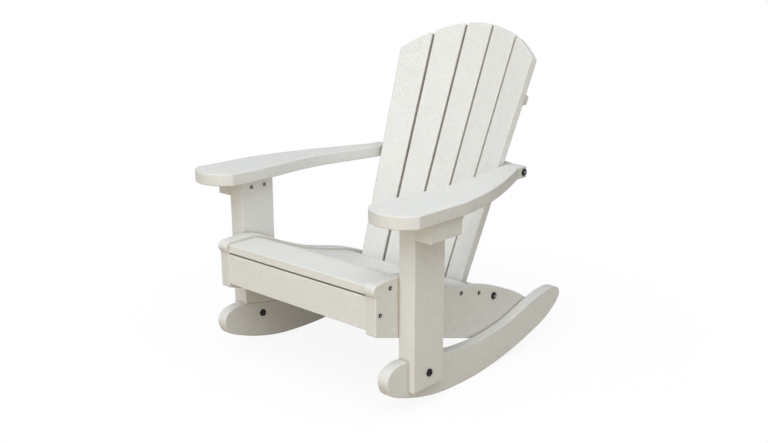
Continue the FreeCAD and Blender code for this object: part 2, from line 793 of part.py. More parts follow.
def brace(name, home, half_long, end_rear, thickness, deep, groups):
    """A bow behind the slats: a blank, less all that lies before the slats' backs."""
    front = -size("back_edge")
    outline = [arc((half_long, end_rear), (0, deep), (-half_long, end_rear))]
    blank = [(-half_long, end_rear), (-half_long, front), (half_long, front), (half_long, end_rear)]
    outline += lines(blank, False)
    body = board(name, "XY_Plane", outline, "Sizes." + thickness, middle=True)
    bow = edges_where(body.Shape, lambda edge: edge.Curve.TypeId == "Part::GeomCircle")
    soften(body, bow, "seat_round")
    reach = 4 * half_long
    backs = []
    for slat, slat_home in slat_homes.items():
        slab = doc.addObject("Part::Box", name + "_" + slat)
        slab.Length = reach
        slab.Width = reach
        slab.Height = 2 * reach
        in_slat = at(-reach / 2, size("slat_thick") - reach, -reach)
        slab.Placement = home.inverse().multiply(slat_home).multiply(in_slat)
        backs.append(slab)
    room = doc.addObject("Part::MultiCommon", name + "_room")
    room.Shapes = backs
    fitted = doc.addObject("Part::Cut", name + "_fitted")
    fitted.Base = body
    fitted.Tool = room
    doc.recompute()
    drilled(name, fitted, home, groups)


upper_half = size("upper_half")
upper_end_rear = slat_back_at(upper_home, upper_half) + size("upper_end_deep")
brace("upper_back_brace", upper_home, upper_half, upper_end_rear, "upper_thick", size("upper_deep"),
      ["upper_brace_screws"])
brace("arm_back_brace", arm_brace_home, size("arm_tail_inner"), arm_rear - arm_brace_home.Base.y, "arm_thick",
      size("arm_brace_deep"), ["arm_brace_screws", "arm_brace_bolts"])
brace("lower_back_brace", lower_home, side_inner, lower_end_front + size("lower_end_deep"), "lower_thick",
      size("lower_deep"), ["lower_brace_screws", "lower_brace_bolts"])


# Back slats
for name in SLATS:
    outline, corners = slat_outline(name)
    body = board(name, "XZ_Plane", outline, "Sizes.slat_thick", True)
    soften(body, corner_edges(body.Shape, "XZ_Plane", corners), "corner_round")
    soften(body, outline_edges(body.Shape, "y"), "slat_round")
    drilled(name, body, slat_homes[name], ["upper_brace_screws", "arm_brace_screws", "lower_brace_screws"])


# Bolts, nuts and screws
# Each kind is turned about its own axis: the head stands up from Z = 0, where
# it rests on the board, and the shank goes down.

def turned(name, profile):
    """A body turned about Z from a profile in the XZ plane."""
    body = doc.addObject("PartDesign::Body", name)
    sketch = sketch_on(body, name + "_profile", "XZ_Plane")
    for edge in profile:
        sketch.addGeometry(edge, False)
    turn = body.newObject("PartDesign::Revolution", name + "_turn")
    turn.Profile = sketch
    turn.ReferenceAxis = (sketch, ["V_Axis"])
    turn.Angle = 360
    body.Tip = turn
    doc.recompute()
    return body


def dome(radius, high):
    """Profile of a domed head, from its flat crown to its rim, and the end points."""
    crown = (0.55 * radius, high)
    rim_top = (radius, 0.35 * high)
    return arc(crown, (0.88 * radius, 0.78 * high), rim_top), crown, rim_top


def fastener(name, kind, shank):
    """Head, shank with a bevelled tip, and a socket: square in screws, six-sided in bolts."""
    sides = 4 if kind == "screw" else 6
    radius = size(kind + "_radius")
    head = size(kind + "_head_radius")
    high = size(kind + "_head_high")
    curve, crown, rim_top = dome(head, high)
    tip = 0.4 * radius
    under = [rim_top, (head, 0), (radius, 0), (radius, tip - shank), (radius - tip, -shank)]
    body = turned(name, [curve] + lines(under + [(0, -shank), (0, high), crown], False))
    recess = sketch_on(body, name + "_socket", "XY_Plane")
    recess.AttachmentOffset = at(0, 0, high)
    corners = []
    for index in range(sides):
        angle = 2 * math.pi * index / sides
        corners.append((size(kind + "_socket") * math.cos(angle), size(kind + "_socket") * math.sin(angle)))
    for edge in lines(corners):
        recess.addGeometry(edge, False)
    pocket = body.newObject("PartDesign::Pocket", name + "_recess")
    pocket.Profile = recess
    pocket.Length = 0.6 * high
    body.Tip = pocket
    doc.recompute()
    return body


def group(name, copies):
    """Copies of fasteners, each at a point with its head facing a way."""
    links = []
    for pattern, seat, way in copies:
        link = doc.addObject("App::Link", name + "_copy")
        link.LinkedObject = pattern
        link.Placement = FreeCAD.Placement(seat, FreeCAD.Rotation(V(0, 0, 1), way))
        links.append(link)
    bunch = doc.addObject("Part::Compound", name + "_group")
    bunch.Links = links
    doc.recompute()
    finish(name, bunch, at(0, 0, 0))


# The sunk screws behind the legs belong with the other seat screws.
MEMBERS = {name: [name] for name in fasteners if name != "covered_slat_screws"}
MEMBERS["seat_slat_screws"] = SEAT_GROUPS

for name, members in MEMBERS.items():
    kind, shank = fasteners[name][:2]
    pattern = fastener(name + "_pattern", kind, shank)
    copies = []
    for member in members:
        for seat, way in fasteners[member][2]:
            copies.append((pattern, seat, way))
    group(name, copies)

# The domed nut has a blind hole for the leg bolt's end.
nut_radius, nut_high = size("bolt_head_radius"), size("nut_high")
nut_curve, nut_crown, nut_rim = dome(nut_radius, nut_high)
nut_bore = size("bolt_radius") + size("hole_play")
nut_deep = size("nut_grip") + size("bore_play")
nut_under = [nut_rim, (nut_radius, 0), (nut_bore, 0), (nut_bore, nut_deep)]
nut = turned("nut_pattern", [nut_curve] + lines(nut_under + [(0, nut_deep), (0, nut_high), nut_crown], False))
group("leg_nuts", [(nut, V(*seat), V(*way)) for seat, way in both_hands(inside, [leg_bolt_spot], -1)])


# Check and write
for item in doc.Objects:
    for flag in item.State:
        if flag in ("Invalid", "Error"):
            raise ValueError("%s is %s" % (item.Name, flag))
box = FreeCAD.BoundBox()
for name, piece in finished:
    shape = piece.Shape
    if shape.isNull() or not shape.isValid():
        raise ValueError(name + " has no valid shape")
    shape.exportStep("parts/%s.step" % name)
    box.add(shape.optimalBoundingBox(False, False))
print("pieces", len(finished), "lower brace bolt", round(lower_bolt.y, 1), round(lower_bolt.z, 1))
print("box", [round(edge, 2) for edge in (box.XMin, box.XMax, box.YMin, box.YMax, box.ZMin, box.ZMax)])
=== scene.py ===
# %% [markdown]
# # A child's rocking adirondack chair of plastic lumber
# The chair is sawn and routed from thick off-white boards and held by black bolts
# and small dark screws. The imported solids say where each board is. They could be
# shown as they are, but a routed board has soft edges, a skin and a sawn rim that a
# solid doesn't tell apart, so each board but the three back braces is made again here
# as a surface worked out with arrays, and the braces and the small hardware keep their
# own mesh and get a finish.

# %% Load the solids
import math

import bpy
import numpy as np
from mathutils import Matrix, Vector


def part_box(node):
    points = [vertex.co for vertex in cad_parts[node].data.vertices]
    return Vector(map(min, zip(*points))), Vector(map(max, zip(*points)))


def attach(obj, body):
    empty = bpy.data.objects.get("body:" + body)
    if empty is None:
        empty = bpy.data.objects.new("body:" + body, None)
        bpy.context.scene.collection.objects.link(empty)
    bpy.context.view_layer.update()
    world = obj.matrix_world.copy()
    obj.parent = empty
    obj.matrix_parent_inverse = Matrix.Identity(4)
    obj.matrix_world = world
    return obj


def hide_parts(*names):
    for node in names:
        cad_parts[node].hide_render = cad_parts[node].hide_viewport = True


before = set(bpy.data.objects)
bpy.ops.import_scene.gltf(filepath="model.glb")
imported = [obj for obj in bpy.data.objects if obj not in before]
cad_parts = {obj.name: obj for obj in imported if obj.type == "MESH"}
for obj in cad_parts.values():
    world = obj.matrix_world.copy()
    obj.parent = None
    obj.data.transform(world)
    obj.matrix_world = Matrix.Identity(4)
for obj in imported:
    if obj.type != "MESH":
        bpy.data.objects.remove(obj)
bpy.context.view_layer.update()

scene = bpy.context.scene
print("solids", len(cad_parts))

# %% [markdown]
# ## The planes that the boards share
# On the real chair everything is measured from a few boards: how wide apart the legs
# stand and how high the arms lie. These could be typed again, but reading them from
# the solids keeps both in step. Lengths along the chair count from the legs' front.

# %% Shared planes
leg_low, leg_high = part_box("front_leg_left")
side_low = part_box("seat_side_left")[0]
arm_low, arm_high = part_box("arm_left")
LEG_FRONT = leg_low.y
LEG_WIDE = leg_high.y - leg_low.y
INSIDE = leg_low.x
LEG_OUTER = leg_high.x
SIDE_INNER = side_low.x
ARM_UNDER = arm_low.z
ARM_THICK = arm_high.z - arm_low.z
HANDS = {"left": 1, "right": -1}
MM = 0.001
print("legs %.3f m apart, arms %.3f m up" % (2 * INSIDE, ARM_UNDER))

# %% [markdown]
# ## Curves by eye, arcs by radius
# The boards' outlines were drawn with a bent batten and a radius gauge. A batten
# pinned at a few points takes the shape of a natural cubic spline, so the same curve
# is solved for here: at every pin the bend is continuous, and it is zero at the ends.
# A corner is rounded by cutting it back and bridging the cut with an arc.

# %% Batten curve and rounded corners
def batten(pins, steps):
    """Points on the natural cubic spline through the pins, by length along the chords.

    The second derivatives at the pins solve a three-banded system; between two
    pins the curve is the blend of their places and bends."""
    pins = np.asarray(pins, float)
    chord = np.linalg.norm(np.diff(pins, axis=0), axis=1)
    knots = np.concatenate([[0.0], np.cumsum(chord)])
    inner = np.arange(1, len(pins) - 1)
    system = np.eye(len(pins))
    system[inner, inner - 1] = chord[:-1]
    system[inner, inner] = 2 * (chord[:-1] + chord[1:])
    system[inner, inner + 1] = chord[1:]
    change = np.zeros_like(pins)
    change[1:-1] = 6 * np.diff(np.diff(pins, axis=0) / chord[:, None], axis=0)
    bend = np.linalg.solve(system, change)
    along = np.linspace(0, knots[-1], steps + 1)
    k = np.clip(np.searchsorted(knots, along, side="right") - 1, 0, len(pins) - 2)
    gap = chord[k][:, None]
    left, right = (knots[k + 1] - along)[:, None], (along - knots[k])[:, None]
    curve = (bend[k] * left ** 3 + bend[k + 1] * right ** 3) / (6 * gap)
    from_left = (pins[k] / gap - bend[k] * gap / 6) * left
    from_right = (pins[k + 1] / gap - bend[k + 1] * gap / 6) * right
    return curve + from_left + from_right


def unit(vectors):
    """Each vector divided by its length."""
    return vectors / np.linalg.norm(vectors, axis=-1, keepdims=True)


def round_corners(outline, corners, radius, steps=6):
    """Cut each corner back by radius times the tangent of half the turn, and bridge it.

    The arc's points are its centre plus the first and last spoke, mixed by the
    sines of the angle still to go and of the angle already gone."""
    points = np.asarray(outline, float)
    for corner in corners:
        i = int(np.argmin(np.linalg.norm(points - corner, axis=1)))
        before = unit(points[i] - points[i - 1])
        after = unit(points[(i + 1) % len(points)] - points[i])
        turn = math.atan2(before[0] * after[1] - before[1] * after[0], before @ after)
        cut = radius * abs(math.tan(turn / 2))
        sideways = np.array([-before[1], before[0]])
        centre = points[i] - cut * before + math.copysign(radius, turn) * sideways
        first, last = points[i] - cut * before - centre, points[i] + cut * after - centre
        gone = np.linspace(0, abs(turn), steps + 1)[:, None]
        spokes = np.sin(abs(turn) - gone) * first + np.sin(gone) * last
        arc = centre + spokes / math.sin(abs(turn))
        far = np.linalg.norm(points - points[i], axis=1) > cut
        points = np.concatenate([points[:i][far[:i]], arc, points[i + 1:][far[i + 1:]]])
    return points


def arc_points(centre, radius, start, stop, steps):
    """Points at equal angles, in degrees, on a circle."""
    angle = np.radians(np.linspace(start, stop, steps + 1))
    return np.asarray(centre) + radius * np.column_stack([np.cos(angle), np.sin(angle)])


print("helpers for outlines are ready")

# %% [markdown]
# ## A skin over rings of points
# Every board of the chair is closed all round, with a sawn or routed rim and two broad
# faces. It could be modelled face by face; here a stack of rings of points is skinned
# with quads and closed by two caps. Each point also keeps its place in the board's own
# axes, which the finish uses to lay the grain, and each face whether a router cut it.

# %% Skin of rings
CREASE_ANGLE = math.radians(40)
pieces = []


def skin(name, rings, own, node, rim_is_routed=1.0, caps_are_routed=0.0, creases=()):
    """A closed mesh from m rings of n points: a quad per step along and around, and two caps.

    own holds the same points in the board's axes: along the grain, across it and
    through the thickness. creases are the columns where the surface has a corner."""
    m, n = rings.shape[:2]
    ring, column = np.meshgrid(np.arange(m - 1), np.arange(n), indexing="ij")
    here, beside = ring * n + column, ring * n + (column + 1) % n
    quads = np.stack([here, beside, beside + n, here + n], axis=-1).reshape(-1, 4)
    caps = [list(range(n))[::-1], list(range((m - 1) * n, m * n))]
    mesh = bpy.data.meshes.new(name)
    mesh.from_pydata(rings.reshape(-1, 3), [], quads.tolist() + caps)
    grain = mesh.attributes.new("grain", "FLOAT_VECTOR", "POINT")
    grain.data.foreach_set("vector", own.astype(np.float32).ravel())
    routed = np.full(len(quads) + 2, rim_is_routed, np.float32)
    routed[-2:] = caps_are_routed
    mesh.attributes.new("routed", "FLOAT", "FACE").data.foreach_set("value", routed)
    mesh.shade_smooth()
    mesh.set_sharp_from_angle(angle=CREASE_ANGLE)
    ends = np.zeros(2 * len(mesh.edges), np.int32)
    mesh.edges.foreach_get("vertices", ends)
    ends = ends.reshape(-1, 2) % n
    sharp = np.zeros(len(mesh.edges), bool)
    mesh.edges.foreach_get("use_edge_sharp", sharp)
    sharp |= (ends[:, 0] == ends[:, 1]) & np.isin(ends[:, 0], list(creases))
    mesh.edges.foreach_set("use_edge_sharp", sharp)
    piece = bpy.data.objects.new(name, mesh)
    scene.collection.objects.link(piece)
    normals = piece.modifiers.new("even_light", "WEIGHTED_NORMAL")
    normals.keep_sharp = True
    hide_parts(node)
    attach(piece, "root")
    pieces.append(piece)
    return piece


print("faces meet softly under %.0f degrees" % math.degrees(CREASE_ANGLE))

# %% [markdown]
# ## How an outline becomes a board
# A routed board is its outline carried through its thickness, a little smaller at both
# faces where the router has rounded the edge. It could be a flat shape with a Bevel
# modifier, but carrying the outline gives the exact quarter round, and the same code
# serves a slat, whose section is carried from side to side.

# %% Boards
EDGE_STEPS = 4
SAME_POINT, SAME_RING = 1e-6, 1e-7
ALONG_X, ALONG_Y, ALONG_Z = (1, 0, 0), (0, 1, 0), (0, 0, 1)
EDGE, CORNER = 2.5 * MM, 4.0 * MM


def inward(outline, distance):
    """The outline moved in: each point along the mitre of its two edges' normals."""
    ahead = unit(np.roll(outline, -1, axis=0) - outline)
    behind = np.roll(ahead, 1, axis=0)
    one = np.column_stack([-ahead[:, 1], ahead[:, 0]])
    two = np.column_stack([-behind[:, 1], behind[:, 0]])
    return outline + distance * (one + two) / (1 + np.sum(one * two, axis=1, keepdims=True))


def board(node, outline, thickness, edges, place, grain="uvw", creases=(), section=False):
    """A board: the outline in the plane of place's first two axes, carried along the third.

    Over a rounded edge of radius r, at angle a, the outline is moved in by
    r (1 - sin a) and stands r (1 - cos a) away from the face."""
    outline = np.asarray(outline, float)
    steps = np.linalg.norm(np.roll(outline, -1, axis=0) - outline, axis=1)
    outline = outline[steps > SAME_POINT]
    ahead = np.roll(outline, -1, axis=0)
    if np.sum(outline[:, 0] * ahead[:, 1] - ahead[:, 0] * outline[:, 1]) < 0:
        outline = outline[::-1]
    angle = np.linspace(0, math.pi / 2, EDGE_STEPS + 1)
    low, high = edges
    insets = [low * (1 - np.sin(angle)), high * (1 - np.sin(angle[::-1]))]
    heights = [low * (1 - np.cos(angle)), thickness - high * (1 - np.cos(angle[::-1]))]
    stack = np.column_stack([np.concatenate(insets), np.concatenate(heights)])
    moved = np.linalg.norm(np.diff(stack, axis=0), axis=1) > SAME_RING
    stack = stack[np.concatenate([[True], moved])]
    rings = np.stack([inward(outline, inset) for inset in stack[:, 0]])
    depth = np.broadcast_to(stack[:, 1][:, None, None], rings.shape[:2] + (1,))
    uvw = np.concatenate([rings, depth], axis=2)
    origin, u_axis, v_axis = (np.asarray(part, float) for part in place)
    axes = np.stack([u_axis, v_axis, np.cross(u_axis, v_axis)])
    own = uvw[..., ["uvw".index(letter) for letter in grain]] + len(pieces)
    columns = [int(np.argmin(np.linalg.norm(outline - crease, axis=1))) for crease in creases]
    rim_is_routed, caps_are_routed = (0.0, 1.0) if section else (1.0, 0.0)
    return skin(node + "_lumber", origin + uvw @ axes, own, node, rim_is_routed, caps_are_routed, columns)


print("a rounded edge takes", EDGE_STEPS, "steps")

# %% [markdown]
# ## Rockers
# Each rocker is one board whose bottom is a chain of arcs, flat under the sitter and
# tighter to the front, so that the chair rests level and rolls back easily. The arcs
# are laid from the lowest point both ways, each with the slope that the last one left;
# the rest of the outline is one batten curve round the nose, along the top and round
# the tail. Its pins are shares of the rocker's length and height.

# %% Rockers
rocker_low_corner, rocker_high_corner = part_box("rocker_left")
ROCKER_FRONT, ROCKER_LONG, ROCKER_HIGH = -60.3 * MM, 599.0 * MM, 117.9 * MM
ROCKER_REST = 200.0 * MM
ROCKER_PINS = np.array([
    (0.0159, 0.4368), (0.0050, 0.5301), (0.0002, 0.6573), (0.0097, 0.7718), (0.0339, 0.8533),
    (0.0751, 0.8855), (0.1007, 0.8753), (0.1858, 0.7990), (0.2810, 0.7226), (0.3928, 0.6522),
    (0.4763, 0.6310), (0.5681, 0.6531), (0.6760, 0.7294), (0.7835, 0.8770), (0.8519, 0.9584),
    (0.9287, 1.0), (0.9721, 0.9720), (0.9947, 0.8991), (0.9998, 0.7973), (0.9880, 0.6955),
    (0.9554, 0.5640), (0.9154, 0.4512)]) * (ROCKER_LONG, ROCKER_HIGH) + (ROCKER_FRONT, 0)
FORWARD_ARCS = [(0.3344, 1500 * MM), (0.0306, 480 * MM)]
BACKWARD_ARCS = [(0.4930, 550 * MM), (0.8853, 960 * MM)]
OVER_STEPS = 260


def rolling_arcs(stretches, steps=24):
    """Arcs from the lowest point outwards, each begun at the slope that the last one left.

    height = centre height - sqrt(radius^2 - distance from the centre^2)."""
    y, z, slope = ROCKER_REST, 0.0, 0.0
    arcs = []
    for share, radius in stretches:
        centre = (y - radius * slope, z + radius * math.sqrt(1 - slope ** 2))
        run = np.linspace(y, share * ROCKER_LONG + ROCKER_FRONT, steps + 1)
        height = centre[1] - np.sqrt(radius ** 2 - (run - centre[0]) ** 2)
        arcs.append(np.column_stack([run, height]))
        y, z = arcs[-1][-1]
        slope = (y - centre[0]) / radius
    return np.concatenate([arc[1:] for arc in arcs])


front_roll, rear_roll = rolling_arcs(FORWARD_ARCS), rolling_arcs(BACKWARD_ARCS)
rocker_over = batten(np.concatenate([front_roll[-1:], ROCKER_PINS, rear_roll[-1:]]), OVER_STEPS)
rocker_under = np.concatenate([front_roll[::-1], [(ROCKER_REST, 0)], rear_roll])
rocker_outline = np.concatenate([rocker_under, rocker_over[-2:0:-1]])
rocker_thick = rocker_high_corner.x - rocker_low_corner.x
for side, hand in HANDS.items():
    start_x = INSIDE if hand > 0 else -INSIDE - rocker_thick
    place = ((start_x, LEG_FRONT, 0), ALONG_Y, ALONG_Z)
    board("rocker_" + side, rocker_outline, rocker_thick, (EDGE, EDGE), place)
print("rocker outline has", len(rocker_outline), "points")

# %% [markdown]
# ## Seat sides
# The seat's boards run between two long sides. Their top edge starts in a round nose,
# climbs over a crest at the leg, dips under the sitter and drops behind the back; the
# lower edge is straight and then sawn up to the tail. The nose could be a separate
# dowel, but in the photograph it is the same board, so its circle is in the outline.

# %% Seat sides
SIDE_FACE, SIDE_LONG, SIDE_HIGH = -63.3 * MM, 499.3 * MM, 266.6 * MM
SIDE_PINS = np.array([
    (0.0967, 1.0), (0.1780, 0.9820), (0.2289, 0.9445), (0.3070, 0.8747), (0.3805, 0.8177),
    (0.4440, 0.7727), (0.5690, 0.7067), (0.7060, 0.6437), (0.8185, 0.5701), (0.9251, 0.4820),
    (1.0, 0.3995)])
NOSE_RADIUS, NOSE_OVER, NOSE_DROP, NOSE_TURN = 13 * MM, 6.4 * MM, 14.9 * MM, 4.33
SIDE_CORNER, SIDE_FALL = 164.2 * MM, 0.315
HEEL_LONG, HEEL_ROUND, TAIL_BACK, TAIL_HIGH = 91 * MM, 25 * MM, 12 * MM, 22.5 * MM
NOSE_STEPS, TOP_STEPS, HEEL_STEPS = 24, 200, 10

side_pins = SIDE_PINS * (SIDE_LONG, SIDE_HIGH) + (SIDE_FACE, 0)
nose_centre = np.array([SIDE_FACE - NOSE_OVER + NOSE_RADIUS, SIDE_HIGH - NOSE_DROP])
nose_below = 180 + math.degrees(math.acos((NOSE_RADIUS - NOSE_OVER) / NOSE_RADIUS))
nose = arc_points(nose_centre, NOSE_RADIUS, 90 + NOSE_TURN, nose_below, NOSE_STEPS)
side_top = batten(np.concatenate([nose[:1], side_pins]), TOP_STEPS)
side_tail = side_pins[-1] - (TAIL_BACK, TAIL_HIGH)
heel_y = side_pins[-1][0] - HEEL_LONG
side_heel = (heel_y, SIDE_CORNER - SIDE_FALL * (heel_y - SIDE_FACE))
side_chin = (SIDE_FACE, SIDE_CORNER)
side_outline = np.concatenate([[side_chin, side_heel, side_tail], side_top[::-1], nose[1:]])
side_outline = round_corners(side_outline, [side_heel], HEEL_ROUND, HEEL_STEPS)
side_outline = round_corners(side_outline, [side_pins[-1], side_tail, side_chin, nose[-1]], CORNER)
side_thick = INSIDE - SIDE_INNER
for side, hand in HANDS.items():
    start_x = SIDE_INNER if hand > 0 else -INSIDE
    place = ((start_x, LEG_FRONT, 0), ALONG_Y, ALONG_Z)
    board("seat_side_" + side, side_outline, side_thick, (EDGE, EDGE), place)
print("seat sides are %.0f mm long" % (SIDE_LONG / MM))

# %% [markdown]
# ## Seat slats and front apron
# Five boards lie between the sides, each a little below their top edge, and an upright
# one closes the front. A slat is the same all along, so the surface is its section,
# with the two upper corners rounded, carried from side to side. The grain then runs
# across the chair, and the sawn ends hide against the sides.

# %% Seat slats and apron
SLAT_THICK, SEAT_SINK, SEAT_GAP, SEAT_ROUND = 17 * MM, 6 * MM, 5 * MM, 2 * MM
SEAT_SET_BACK, SEAT_DEPTH = 1.5 * MM, 343.39 * MM
SEAT_FRONT = SIDE_FACE + SEAT_SET_BACK
SEAT_BREAKS = [0.2198, 0.4337, 0.6435, 0.8435, 1.0]
APRON_THICK, APRON_GAP, APRON_LOW = 20 * MM, 4 * MM, 171.5 * MM


def seat_height(y):
    """Height of the slats' tops: the sides' top curve at y, less the sink."""
    return float(np.interp(y, side_top[:, 0], side_top[:, 1])) - SEAT_SINK


def cross_board(node, low, high, thickness, rounded):
    """A board from side to side whose section hangs below the line from low to high."""
    low, high = np.asarray(low), np.asarray(high)
    way = unit(high - low)
    down = np.array([way[1], -way[0]]) * thickness
    corners = [low, low + down, high + down, high]
    outline = round_corners(corners, [corners[i] for i in rounded], SEAT_ROUND)
    place = ((-SIDE_INNER, LEG_FRONT, 0), ALONG_Y, ALONG_Z)
    board(node, outline, 2 * SIDE_INNER, (0, 0), place, "wuv", section=True)


start = SEAT_FRONT
for number, share in enumerate(SEAT_BREAKS, 1):
    stop = SEAT_FRONT + share * SEAT_DEPTH
    ends = (start, seat_height(start)), (stop, seat_height(stop))
    cross_board("seat_slat_%d" % number, *ends, SLAT_THICK, (0, 3))
    start = stop + SEAT_GAP
apron_top = seat_height(SEAT_FRONT) - SLAT_THICK - APRON_GAP
ends = (SEAT_FRONT, apron_top), (SEAT_FRONT + APRON_THICK, apron_top)
cross_board("front_apron", *ends, apron_top - APRON_LOW, range(4))
print("seat slats", len(SEAT_BREAKS))

# %% [markdown]
# ## Front legs and arm brackets
# A leg is a thick upright board. The inner part of its foot is cut away along the
# rocker's top, so that the rocker is let in flush and a tongue stays outside it. The
# cut follows the rocker's curve, so the surface is an L-shaped section in the plane
# across the chair, carried from the leg's front to its back, whose step rises and
# falls with the rocker's top. The bracket beside it is a plain block with eased edges.

# %% Legs and brackets
LEG_FOOT, BEVEL, HEAD_EASE = 41.5 * MM, 1.2 * MM, 2.2 * MM
BRACKET_THICK, BRACKET_LONG, BRACKET_HIGH = 37 * MM, 92 * MM, 38.6 * MM
LEG_STEPS, NOSE_POINTS = 24, 60
leg_thick = LEG_OUTER - INSIDE


def leg(node, hand):
    """Rings across the chair at steps from front to back, narrower by the bevel at both ends.

    The sawn head is eased all round, so that a fine dark line stays under the arm."""
    middle = np.linspace(2 * BEVEL, LEG_WIDE - 2 * BEVEL, LEG_STEPS)
    y = np.concatenate([[0, BEVEL], middle, [LEG_WIDE - BEVEL, LEG_WIDE]])
    ease = np.where((y == 0) | (y == LEG_WIDE), BEVEL, 0.0)
    crest = rocker_over[np.argmin(rocker_over[:NOSE_POINTS, 0]):]
    step = np.interp(y, crest[:, 0], crest[:, 1])
    flat = np.zeros_like(y)
    head = ARM_UNDER - np.where(ease > 0, HEAD_EASE, 0.0)
    x = np.stack([ease + HEAD_EASE, ease, ease, flat + rocker_thick, flat + rocker_thick,
                  leg_thick - ease, leg_thick - ease, leg_thick - ease - HEAD_EASE], axis=1)
    z = np.stack([head, head - HEAD_EASE, step, step, flat + LEG_FOOT, flat + LEG_FOOT,
                  head - HEAD_EASE, head], axis=1)
    depth = np.broadcast_to(y[:, None], x.shape)
    rings = np.stack([hand * (x + INSIDE), depth + LEG_FRONT, z], axis=2)
    own = np.stack([z, x, depth], axis=2) + len(pieces)
    if hand > 0:
        rings, own = rings[:, ::-1], own[:, ::-1]
    skin(node + "_lumber", rings, own, node, rim_is_routed=0.0)


for side, hand in HANDS.items():
    leg("front_leg_" + side, hand)
    corner_x = LEG_OUTER if hand > 0 else -LEG_OUTER - BRACKET_THICK
    block = [(0, 0), (BRACKET_LONG, 0), (BRACKET_LONG, BRACKET_HIGH), (0, BRACKET_HIGH)]
    ease = (0, BEVEL) if hand > 0 else (BEVEL, 0)
    place = ((corner_x, LEG_FRONT, ARM_UNDER - BRACKET_HIGH), ALONG_Y, ALONG_Z)
    board("arm_bracket_" + side, block, BRACKET_THICK, ease, place)
print("leg section %.0f by %.0f mm" % (leg_thick / MM, LEG_WIDE / MM))

# %% [markdown]
# ## Arms
# The arms are wide paddles: a round front with two crisp corners, a straight outer
# edge over the leg, then a long sweep in to a narrow tail that is bolted to the back.
# The inner edge is hollow. The sweep is a batten curve by shares of the way back and
# of the way in; where it leaves the straight edge the photograph shows a fine crease,
# so that corner is kept sharp.

# %% Arms
ARM_INWARD, ARM_OUTWARD, ARM_FRONT, ARM_NOSE = 31.8 * MM, 86.4 * MM, -46 * MM, 33.5 * MM
ARM_STRAIGHT, ARM_HOLLOW_START, ARM_WAIST = 92 * MM, 22 * MM, 19.6 * MM
TAIL_INNER, TAIL_WIDE, TAIL_START = 173.3 * MM, 40.2 * MM, 394.8 * MM
TAIL_FLAT, TAIL_SKEW = 31 * MM, 6.5 * MM
OUTER_SWEEP = np.array([
    (0, 1), (0.211, 0.881), (0.330, 0.793), (0.505, 0.622), (0.674, 0.425), (0.852, 0.200), (1, 0)])
INNER_HOLLOW = np.array([
    (1, 0), (0.920, 0.077), (0.761, 0.480), (0.624, 0.832), (0.488, 1.0), (0.382, 0.929),
    (0.219, 0.556), (0.102, 0.184), (0, 0)])
FRONT_STEPS, SWEEP_STEPS = 36, 90

arm_inner, arm_outer = INSIDE - ARM_INWARD, INSIDE + ARM_OUTWARD
tail_outer = TAIL_INNER + TAIL_WIDE
sweep = np.column_stack([tail_outer + OUTER_SWEEP[:, 1] * (arm_outer - tail_outer),
                         ARM_STRAIGHT + OUTER_SWEEP[:, 0] * (TAIL_START - ARM_STRAIGHT)])
back_share, in_share = INNER_HOLLOW.T
hollow = np.column_stack([arm_inner + back_share * (TAIL_INNER - arm_inner) + in_share * ARM_WAIST,
                          ARM_HOLLOW_START + back_share * (TAIL_START - ARM_HOLLOW_START)])
half_wide = (arm_outer - arm_inner) / 2
front_radius = (half_wide ** 2 + ARM_NOSE ** 2) / (2 * ARM_NOSE)
reach = math.degrees(math.asin(half_wide / front_radius))
front_centre = ((arm_inner + arm_outer) / 2, ARM_FRONT - ARM_NOSE + front_radius)
arm_front = arc_points(front_centre, front_radius, 270 - reach, 270 + reach, FRONT_STEPS)
arm_tail = [(tail_outer, TAIL_START + TAIL_FLAT), (TAIL_INNER, TAIL_START + TAIL_FLAT + TAIL_SKEW)]
arm_outline = np.concatenate([arm_front, batten(sweep, SWEEP_STEPS), arm_tail, batten(hollow, SWEEP_STEPS)])
arm_creases = np.array([arm_front[0], arm_front[-1], sweep[0], sweep[-1]])
for side, hand in HANDS.items():
    place = ((0, LEG_FRONT, ARM_UNDER), ALONG_X, ALONG_Y)
    outline, creases = arm_outline * (hand, 1), arm_creases * (hand, 1)
    board("arm_" + side, outline, ARM_THICK, (EDGE, EDGE), place, "vuw", creases)
print("arm %.0f mm wide at the front" % (2 * half_wide / MM))

# %% [markdown]
# ## Back slats
# Five tapered slats fan out and wrap round the sitter. Each lies flat in its own plane,
# and neighbouring planes meet in folds that lean and spread, so the slats could be cut
# from one bent sheet. Their faces are worked out in that way: a point on the back is a
# distance from the middle and a height, and each fold passed turns the plane forward.
# The tops are cut to one arch.

# %% Back slats
BACK_Y, BACK_LEAN = 409.9 * MM, 0.4136
FOLD_ONE, FOLD_TWO, RIM = (33 * MM, 0.0124), (100.9 * MM, 0.0473), (163.8 * MM, 0.0845)
INNER_TURN, OUTER_TURN, BACK_GAP = 0.196, 0.328, 5 * MM
BACK_FOOT, BACK_RISE, ARCH_RADIUS, SLAT_EDGE = -266.6 * MM, 313.4 * MM, 300 * MM, 2.5 * MM
MEETING_ROUNDS, ARCH_POINTS = 20, 25


def spread(line, height):
    """Distance of a fold from the middle: its place at arm height plus its slope times the height."""
    return line[0] + line[1] * height


def on_back(x, height):
    """Points on the slats' front faces.

    y = lean times height, less each fold's turn times the distance gone past it."""
    fold_one, fold_two = spread(FOLD_ONE, height), spread(FOLD_TWO, height)
    past_one = np.clip(np.abs(x) - fold_one, 0, fold_two - fold_one)
    past_two = np.clip(np.abs(x) - fold_two, 0, None)
    y = LEG_FRONT + BACK_Y + BACK_LEAN * height - INNER_TURN * past_one - OUTER_TURN * past_two
    return np.stack(np.broadcast_arrays(x, y, height + ARM_UNDER), axis=-1)


def arch(x):
    """Height of the arched top over the distance from the middle."""
    return BACK_RISE - ARCH_RADIUS + np.sqrt(ARCH_RADIUS ** 2 - x ** 2)


